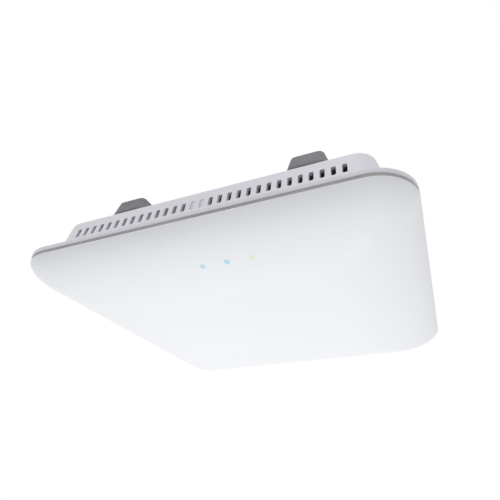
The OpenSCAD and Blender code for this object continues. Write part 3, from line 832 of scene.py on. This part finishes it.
class ACCESSPOINT_OT_lights(bpy.types.Operator):
    """Model the light guides with domed tips that follow the cover"""
    bl_idname = "accesspoint.lights"
    bl_label = "Status lights"

    def execute(self, context):
        for name in LIGHTS:
            node = f"{name}_light_guide"
            finish(self.guide(*box(node)), f"{name}_light", "access_point", f"{name}_light", node)
        return {"FINISHED"}

    def guide(self, low, high):
        """A rod with a wider upper end, whose tip is domed and lies in the cover's face."""
        middle = (low + high) / 2
        radius = settings().cover.light_radius
        grow = (high.x - low.x) / 2 / radius
        shoulder = low.z + 2.6 * MM
        crown, sunk = 0.12 * MM, 0.05 * MM      # height of the dome, and depth of its rim below the face
        obj = rod("guide", radius, low.z, high.z, middle.x, middle.y, 40)
        select_where(obj, lambda co: co.z > high.z - MM / 100)
        bpy.ops.transform.translate(value=(0, 0, shoulder - high.z))
        bpy.ops.mesh.extrude_region_move()
        bpy.ops.transform.resize(value=(grow, grow, 1), center_override=(middle.x, middle.y, shoulder))
        bpy.ops.mesh.extrude_region_move(TRANSFORM_OT_translate={"value": (0, 0, high.z - shoulder)})
        select_where(obj, lambda co: co.z < low.z + MM / 100)
        for _ in range(3):
            bpy.ops.mesh.inset(thickness=radius * 0.24, use_even_offset=True)
        leave()
        for vert in obj.data.vertices:
            if vert.co.z < low.z + MM / 100:
                out = (vert.co.xy - middle.xy).length / radius
                face = seam_middle() - border_depth(half_width() + vert.co.y)
                vert.co.z = face - crown * (1 - out * out) + sunk
        return smooth(obj, 40)


# Rear housing ---------------------------------------------------------------------------


def wall_reach(z):
    """Half width of the housing's outer wall at a height."""
    sizes = settings().housing
    foot = seam_levels()[1] + sizes.flange_height
    slope = (sizes.back_inset - sizes.wall_inset) / (back_level() - foot)
    return half_width() - sizes.wall_inset - slope * (z - foot)


def corner_centre():
    """Distance of the wall's corner centres from the body's middle, on both axes."""
    sizes = settings().housing
    return half_width() - sizes.back_inset - sizes.back_radius


class ACCESSPOINT_OT_housing(bpy.types.Operator):
    """Model the rear housing: flange, drafted wall, vent slots, port recess and hooks"""
    bl_idname = "accesspoint.housing"
    bl_label = "Rear housing"

    def execute(self, context):
        obj = self.tray()
        cut(obj, self.inner_posts(), "UNION")
        cut(obj, self.hooks(), "UNION")
        cut(obj, self.recess_walls(), "UNION")
        cut(obj, self.slots())
        cut(obj, self.port_cutters())
        cut(obj, self.screw_sinks())
        face_outwards(obj)
        soften(obj, settings().housing.edge_bevel, 2, 48)
        smooth(obj, 40)
        finish(obj, "rear_housing_shell", "access_point", "housing_plastic", "rear_housing")
        return {"FINISHED"}

    def tray(self):
        """The tray as one skin: up the inner wall, round the flange and up the outer wall."""
        sizes = settings().housing
        half = half_width()
        corner = settings().cover.corner_radius
        centre = corner_centre()
        low = seam_levels()[1]
        flange = low + sizes.flange_height
        back = back_level()
        inner_back = back - sizes.wall
        inner = [(wall_reach(inner_back) - sizes.wall, inner_back), (wall_reach(low) - sizes.wall, low)]
        levels = [(reach, reach - centre, z) for reach, z in inner]
        edge = sizes.flange_round
        outer = quarter_turn(half - edge, low + edge * 0.5, edge, edge * 0.5, -90, 0, 3)
        outer += quarter_turn(half - edge, flange - edge, edge, edge, 0, 90, 4)
        levels += [(reach, corner - (half - reach), z) for reach, z in outer]
        flare = sizes.flare
        foot = wall_reach(flange + flare) + flare
        levels += [(reach, max(reach - centre, 1 * MM), z)
                   for reach, z in quarter_turn(foot, flange + flare, flare, flare, 270, 194, 5)]
        rim = sizes.rim_round
        top = quarter_turn(wall_reach(back - rim) - rim, back - rim, rim, rim, 14, 90, 7)
        levels += [(reach, reach - centre, z) for reach, z in top]
        return outline_stack("tray", levels)

    def inner_posts(self):
        """Bosses of the cover screws and of the board."""
        sizes = settings().housing
        top = back_level() - sizes.wall / 2
        kinds = (("cover_screws", sizes.boss_radius, seam_middle() + 2 * MM),
                 ("board_screws", sizes.post_radius, box("main_board")[1].z))
        return join([rod("post", radius, foot, top, x, y)
                     for node, radius, foot in kinds for x, y in four_places(node, SCREW_HEAD, SCREW_HEAD)])

    def hooks(self):
        """Bayonet hooks over the bracket's tabs, each with its stop, and the detent's two ribs."""
        sizes = settings().bracket
        lip_low = box("mounting_bracket")[0].z + sizes.sheet + sizes.hook_gap
        lip_top = lip_low + sizes.hook_lip
        lip = sizes.dish_radius + 1.2 * MM                      # clear of the dish's wall
        post = sizes.dish_radius + sizes.tab_reach + 0.6 * MM   # clear of the tab's end
        outer = post + sizes.hook_wall
        root = back_level() - SUNK
        # Angles: room beside a tab, thickness of the stop, and how far a hook ends before its tab does
        gap, stop, short = math.radians(0.5), math.radians(2.5), math.radians(2)
        reach = sizes.tab_angle + gap - short
        over = [(outer, root), (outer, lip_top), (lip, lip_top)]
        hooked = over + [(lip, lip_low), (post, lip_low), (post, root)]
        solid = over + [(lip, root)]
        parts = []
        for i in range(sizes.tab_count):
            start = sizes.first_tab + i * math.tau / sizes.tab_count - sizes.tab_angle / 2 - gap
            arm = spun("hook", hooked, 12, reach, start)
            cut(arm, spun("stop", solid, 2, stop + 0.001, start - stop), "UNION")
            parts.append(arm)
        return join(parts + self.ribs())

    def ribs(self):
        """The two ribs that hold the detent's nose, each sloped down to the side that faces it."""
        back = back_level()
        nose = settings().bracket.dish_radius + 21 * MM
        near, far = 5.6 * MM, 9.6 * MM      # sides of a rib, from the middle line
        half_length, height, slope = 5 * MM, 2.5 * MM, 2.2 * MM
        parts = []
        for side in (-1, 1):
            left, right = sorted((side * near, side * far))
            rib = block("rib", (left, nose - half_length, back - SUNK),
                        (right, nose + half_length, back + height))
            select_where(rib, lambda co: co.z > back and abs(co.x) < (near + far) / 2)
            bpy.ops.transform.translate(value=(0, 0, -slope))
            leave()
            parts.append(rib)
        return parts

    def recess_floor(self):
        """Lowest level of the port recess, just above the board."""
        return box("main_board")[1].z + 0.3 * MM

    def recess_box(self, grow, floor, top):
        """Two corners of the port recess between two levels, grown sideways."""
        low, high = frame_opening("port_recess")
        grow += 0.5 * MM
        return (low.x - grow, low.y - grow, floor), (high.x + grow, high.y + grow, top)

    def recess_walls(self):
        """The pocket's walls and floor, which reach from the back face to the board."""
        wall = settings().housing.wall
        return block("recess_walls", *self.recess_box(wall, self.recess_floor(), back_level() - wall / 2))

    def port_cutters(self):
        """Cutters for the pocket and for the sockets and button in its far wall."""
        wall = settings().housing.wall
        floor = self.recess_floor()
        gap = 0.3 * MM
        pocket = block("pocket", *self.recess_box(0.0, floor + wall, back_level() + MM))
        soften(pocket, 2 * MM, 4)
        parts = [pocket]
        mouth = box("ethernet_jack")[0].y - gap
        for node in ("ethernet_jack", "power_jack"):
            low, high = box(node)
            parts.append(block(node, (low.x - gap, mouth - MM, floor - MM),
                               (high.x + gap, mouth + wall + MM, high.z + gap)))
        low, high = box("reset_button")
        hole = rod("button_hole", settings().housing.button_bore, -wall, wall)
        hole.data.transform(Matrix.Rotation(math.radians(90), 4, "X"))
        middle = (low + high) / 2
        hole.data.transform(Matrix.Translation((middle.x, mouth + wall / 2, middle.z)))
        parts.append(hole)
        for part in parts[1:]:
            cut(pocket, part, "UNION")
        return pocket

    def slot(self, depth):
        """A cutter for one slot, run along Y and centred at the origin."""
        sizes = settings().housing
        corner = Vector((sizes.slot_width, depth, sizes.slot_height)) / 2
        return bevel_where(block("slot", -corner, corner), lambda a, b: abs(b.y - a.y) > corner.y,
                           sizes.slot_round, 3)

    def slots(self):
        """Cutters for the slots of both vented walls; those beside the middle stay shallow."""
        sizes = settings().housing
        z = seam_middle() + sizes.slot_lift
        face = wall_reach(z)
        shallow, deep = [], []
        for i in range(sizes.slot_count):
            for side in (-1, 1):
                for wall in (-1, 1):
                    x = side * (i + 0.5) * sizes.slot_pitch
                    if i < sizes.closed_slots:
                        shallow.append(Matrix.Translation((x, wall * face, z)))
                    else:
                        deep.append(Matrix.Translation((x, wall * (face - sizes.wall / 2), z)))
        return join([copies(self.slot(4 * sizes.wall), deep),
                     copies(self.slot(4 * sizes.closed_depth), shallow)])

    def screw_sinks(self):
        """Cutters for the cover screws' counterbores and bores."""
        sizes = settings().housing
        low = box("cover_screws")[0].z
        back = back_level()
        parts = []
        for x, y in four_places("cover_screws", SCREW_HEAD, SCREW_HEAD):
            sink = rod("sink", sizes.sink_radius, back - sizes.sink_depth, back + MM, x, y)
            parts.append(cut(sink, rod("bore", sizes.bore_radius, low, back, x, y, 24), "UNION"))
        return join(parts)


def frame_opening(name):
    """The two corners of an opening stated in the record."""
    stated = next(part for part in frame["record"]["physics"]["openings"] if part["name"] == name)
    low, high = stated["box_m"]
    return Vector(low), Vector(high)


class ACCESSPOINT_OT_feet(bpy.types.Operator):
    """Model the rubber feet"""
    bl_idname = "accesspoint.feet"
    bl_label = "Rubber feet"

    def execute(self, context):
        sizes = settings().housing
        low, high = box("rubber_feet")
        half_x, half_y = sizes.foot_length / 2, sizes.foot_width / 2
        edge = 1.2 * MM         # rounding of the tip's edge
        tip = sizes.foot_taper + edge
        # Inset and height of each level: lower edge, skirt, drafted side, tip's rounding and its cap
        insets = [(0.4 * MM, low.z), (0.0, low.z + 0.4 * MM), (0.0, low.z + 1.1 * MM),
                  (0.25 * MM, low.z + 1.5 * MM), (sizes.foot_taper - 0.2 * MM, high.z - edge - 0.4 * MM)]
        insets += [(tip - reach, z) for reach, z in quarter_turn(0.0, high.z - edge, edge, edge, 15, 90, 5)]
        insets += [(tip + 0.8 * MM, high.z), (tip + 1.3 * MM, high.z - 0.5 * MM)]
        foot = outline_stack("foot", [((half_x - inset, half_y - inset), sizes.foot_radius - inset, z)
                                      for inset, z in insets])
        obj = four_copies(foot, "rubber_feet", half_x, half_y)
        smooth(obj, 45)
        finish(obj, "rubber_feet_set", "access_point", "grey_rubber", "rubber_feet")
        return {"FINISHED"}


# Ceiling bracket ------------------------------------------------------------------------


class ACCESSPOINT_OT_bracket(bpy.types.Operator):
    """Model the pressed ceiling bracket with its tabs, ear, leaf spring and rivets"""
    bl_idname = "accesspoint.bracket"
    bl_label = "Ceiling bracket"

    def execute(self, context):
        obj = self.dish()
        cut(obj, self.ear(), "UNION")
        for tab in self.tabs():
            cut(obj, tab, "UNION")
        cut(obj, self.holes())
        face_outwards(obj)
        soften(obj, 0.2 * MM, 2, 50)
        smooth(obj, 40)
        finish(obj, "mounting_bracket_dish", "bracket", "zinc_sheet", "mounting_bracket")
        bench_piece("detent_spring", "detent_leaf", "bracket", 0.12, 2)
        bench_piece("spring_rivets", "leaf_rivets", "bracket", 0.15, 3)
        return {"FINISHED"}

    def dish(self):
        """Sheet dish with a rounded bend, spun as one closed profile."""
        sizes = settings().bracket
        low = box("mounting_bracket")[0].z
        radius, sheet, bend = sizes.dish_radius, sizes.sheet, sizes.bend
        inner = bend - sheet
        profile = [(sizes.cable_radius, 0.0)]
        profile += quarter_turn(radius - bend, -bend, bend, bend, 90, 0)
        profile += [(radius, low), (radius - sheet, low)]
        profile += quarter_turn(radius - bend, -bend, inner, inner, 0, 90)
        profile += [(sizes.cable_radius, -sheet)]
        return spun("dish", profile, 96)

    def ear(self):
        """The tongue beyond the dish that carries the leaf spring."""
        sizes = settings().bracket
        end = box("mounting_bracket")[1].y
        root = sizes.cable_radius + 4 * MM
        obj = block("ear", (-sizes.ear_half, root, -sizes.sheet), (sizes.ear_half, end, 0.0))
        return bevel_where(obj, lambda a, b: abs(b.z - a.z) > MM and a.y > end - MM, sizes.ear_round, 6)

    def tabs(self):
        sizes = settings().bracket
        low = box("mounting_bracket")[0].z
        inner, outer = sizes.dish_radius - 0.4 * MM, sizes.dish_radius + sizes.tab_reach
        profile = [(inner, low), (outer, low), (outer, low + sizes.sheet), (inner, low + sizes.sheet)]
        turns = [sizes.first_tab + i * math.tau / sizes.tab_count for i in range(sizes.tab_count)]
        return [spun("tab", profile, 10, sizes.tab_angle, turn - sizes.tab_angle / 2) for turn in turns]

    def holes(self):
        """Cutters for the rivet holes and the ceiling screw holes."""
        sizes = settings().bracket
        low, high = -2 * sizes.sheet, MM
        parts = [rod("rivet_hole", sizes.rivet_radius, low, high, side * sizes.rivet_side,
                     sizes.dish_radius + sizes.rivet_reach, 24) for side in (-1, 1)]
        for i in range(sizes.screw_count):
            turn = i * math.tau / sizes.screw_count
            place = (sizes.screw_circle * math.cos(turn), sizes.screw_circle * math.sin(turn))
            parts.append(rod("screw_hole", sizes.screw_radius, low, high, *place))
        return join(parts)


# Ports, screws and electronics ----------------------------------------------------------


class ACCESSPOINT_OT_screws(bpy.types.Operator):
    """Model the screws, with a cross recess in each head"""
    bl_idname = "accesspoint.screws"
    bl_label = "Screws"

    def execute(self, context):
        for node, upwards in (("cover_screws", True), ("board_screws", False), ("heat_sink_screws", False)):
            obj = bench_copy(node, 0.35 * MM, 3)
            cut(obj, self.recesses(node, upwards))
            smooth(obj)
            finish(obj, f"{node}_set", "access_point", "zinc_screws", node)
        return {"FINISHED"}

    def recesses(self, node, upwards):
        """Crosses sunk into the screw heads, at their top or their underside."""
        low, high = box(node)
        arm, bar, deep = 1.6 * MM, 0.35 * MM, 1.1 * MM
        face = high.z if upwards else low.z
        cross = block("cross", (-arm, -bar, face - deep), (arm, bar, face + deep))
        cut(cross, block("bar", (-bar, -arm, face - deep), (bar, arm, face + deep)), "UNION")
        return four_copies(cross, node, SCREW_HEAD, SCREW_HEAD)


class ACCESSPOINT_OT_ports(bpy.types.Operator):
    """Break the edges of the sockets and of the reset button"""
    bl_idname = "accesspoint.ports"
    bl_label = "Ports and button"

    PARTS = {               # body and bevel in millimetres
        "ethernet_jack": ("access_point", 0.12),
        "ethernet_insert": ("access_point", 0.15),
        "ethernet_contacts": ("access_point", 0.06),
        "power_jack": ("access_point", 0.3),
        "power_pin": ("access_point", 0.15),
        "reset_switch": ("access_point", 0.2),
        "reset_button": ("reset_button", 0.35),
        "switch_plunger": ("reset_button", 0.1),
    }

    def execute(self, context):
        for node, (body, bevel) in self.PARTS.items():
            bench_piece(node, f"{node}_moulding", body, bevel, 3)
        return {"FINISHED"}


class ACCESSPOINT_OT_electronics(bpy.types.Operator):
    """Give the board and all that it carries its edges and finishes"""
    bl_idname = "accesspoint.electronics"
    bl_label = "Electronics"

    # Bevel of each part in millimetres
    BEVELS = {"processor": 0.15, "memory_chips": 0.15, "thermal_pads": 0.2, "heat_sink": 0.15,
              "ethernet_magnetics": 0.3, "power_transformer": 0.4, "inductors": 0.6, "capacitors": 0.5,
              "left_radio_shield": 0.12, "right_radio_shield": 0.12, "status_leds": 0.1}

    def execute(self, context):
        for node, bevel in self.BEVELS.items():
            bench_piece(node, f"{node}_part", "access_point", bevel, 2)
        for node, obj in frame["nodes"].items():
            if not obj.hide_render:
                obj.data.materials.clear()
                obj.data.materials.append(material(slot_of(node)))
        return {"FINISHED"}


# Stage ----------------------------------------------------------------------------------


class ACCESSPOINT_OT_stage(bpy.types.Operator):
    """Set up the floor, the lamps, the world and the camera"""
    bl_idname = "accesspoint.stage"
    bl_label = "Studio"

    def execute(self, context):
        studio = settings().studio
        self.floor(studio.floor_drop)
        self.world(context.scene, studio.ambient)
        # Place, target and size of each lamp, in metres
        self.lamp("key_lamp", (-0.14, 0.28, -0.60), (-0.14, 0.28, 0.0), 0.9, studio.key_power)
        self.lamp("rim_lamp", (0.10, -0.50, 0.80), (0.0, 0.0, -0.02), 0.5, studio.rim_power)
        self.camera(context.scene, studio)
        context.scene.view_settings.view_transform = "Standard"
        return {"FINISHED"}

    def floor(self, drop):
        deselect()
        bpy.ops.mesh.primitive_plane_add(size=8.0, location=(0, 0, -drop))
        obj = added("studio_floor")
        made = Finish("studio_floor", (0.86, 0.86, 0.86), 0.9)
        made.vary_colour(made.noise(3, 2), 0.99, 1.01)
        obj.data.materials.append(made.material)

    def world(self, scene, ambient):
        """White where the camera or a reflection looks, soft grey light elsewhere."""
        world = bpy.data.worlds.new("studio")
        scene.world = world
        world.use_nodes = True
        nodes, links = world.node_tree.nodes, world.node_tree.links
        nodes.clear()
        path = nodes.new("ShaderNodeLightPath")
        seen = path.outputs["Is Camera Ray"]
        for name in ("Is Glossy Ray", "Is Transmission Ray"):
            either = nodes.new("ShaderNodeMath")
            either.operation = "MAXIMUM"
            links.new(seen, either.inputs[0])
            links.new(path.outputs[name], either.inputs[1])
            seen = either.outputs[0]
        light = nodes.new("ShaderNodeBackground")
        fill(light, Color=(0.97, 0.98, 1.0, 1.0), Strength=ambient)
        white = nodes.new("ShaderNodeBackground")
        fill(white, Color=(1.0, 1.0, 1.0, 1.0))
        mix = nodes.new("ShaderNodeMixShader")
        links.new(seen, mix.inputs[0])
        links.new(light.outputs[0], mix.inputs[1])
        links.new(white.outputs[0], mix.inputs[2])
        output = nodes.new("ShaderNodeOutputWorld")
        links.new(mix.outputs[0], output.inputs["Surface"])

    def lamp(self, name, place, target, size, power):
        """A square soft lamp that faces a target."""
        deselect()
        bpy.ops.object.light_add(type="AREA", location=place)
        obj = bpy.context.object
        obj.name = name
        obj.data.shape = "SQUARE"
        obj.data.size = size
        obj.data.energy = power
        obj.rotation_euler = (Vector(target) - Vector(place)).to_track_quat("-Z", "Y").to_euler()
        obj.visible_camera = False

    def camera(self, scene, studio):
        deselect()
        bpy.ops.object.camera_add(location=Vector(studio.camera_from_seam) + Vector((0, 0, seam_middle())))
        obj = bpy.context.object
        obj.name = "camera"
        obj.rotation_euler = (Matrix.Rotation(studio.turn, 3, "Z")
                              @ Matrix.Rotation(math.radians(90) + studio.tilt, 3, "X")
                              @ Matrix.Rotation(studio.roll, 3, "Z")).to_euler()
        obj.data.lens = studio.lens
        obj.data.sensor_width = 36.0
        obj.data.clip_start = 0.01
        scene.camera = obj


class ACCESSPOINT_PT_panel(bpy.types.Panel):
    """Steps and settings of the access point"""
    bl_idname = "ACCESSPOINT_PT_panel"
    bl_label = "Access Point"
    bl_space_type = "VIEW_3D"
    bl_region_type = "UI"
    bl_category = "Access Point"

    def draw(self, context):
        for step in STEPS:
            self.layout.operator(step.bl_idname)
        groups = context.scene.access_point
        for name in ("cover", "housing", "bracket", "finishes", "studio"):
            group = getattr(groups, name)
            column = self.layout.box()
            column.label(text=name.title())
            for key in group.bl_rna.properties.keys():
                if key not in ("rna_type", "name"):
                    column.prop(group, key)


STEPS = (
    ACCESSPOINT_OT_stage,
    ACCESSPOINT_OT_cover,
    ACCESSPOINT_OT_seam,
    ACCESSPOINT_OT_lights,
    ACCESSPOINT_OT_housing,
    ACCESSPOINT_OT_feet,
    ACCESSPOINT_OT_bracket,
    ACCESSPOINT_OT_screws,
    ACCESSPOINT_OT_ports,
    ACCESSPOINT_OT_electronics,
)
CLASSES = (CoverSizes, HousingSizes, BracketSizes, Finishes, StudioSettings, AccessPointSettings,
           *STEPS, ACCESSPOINT_PT_panel)


def register():
    for cls in CLASSES:
        bpy.utils.register_class(cls)
    bpy.types.Scene.access_point = bpy.props.PointerProperty(type=AccessPointSettings)


def unregister():
    del bpy.types.Scene.access_point
    for cls in reversed(CLASSES):
        bpy.utils.unregister_class(cls)


def main():
    """Builds the access point step by step."""
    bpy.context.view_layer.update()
    register()
    for step in STEPS:
        area, name = step.bl_idname.split(".")
        getattr(getattr(bpy.ops, area), name)()


if __name__ == "__main__":
    main()
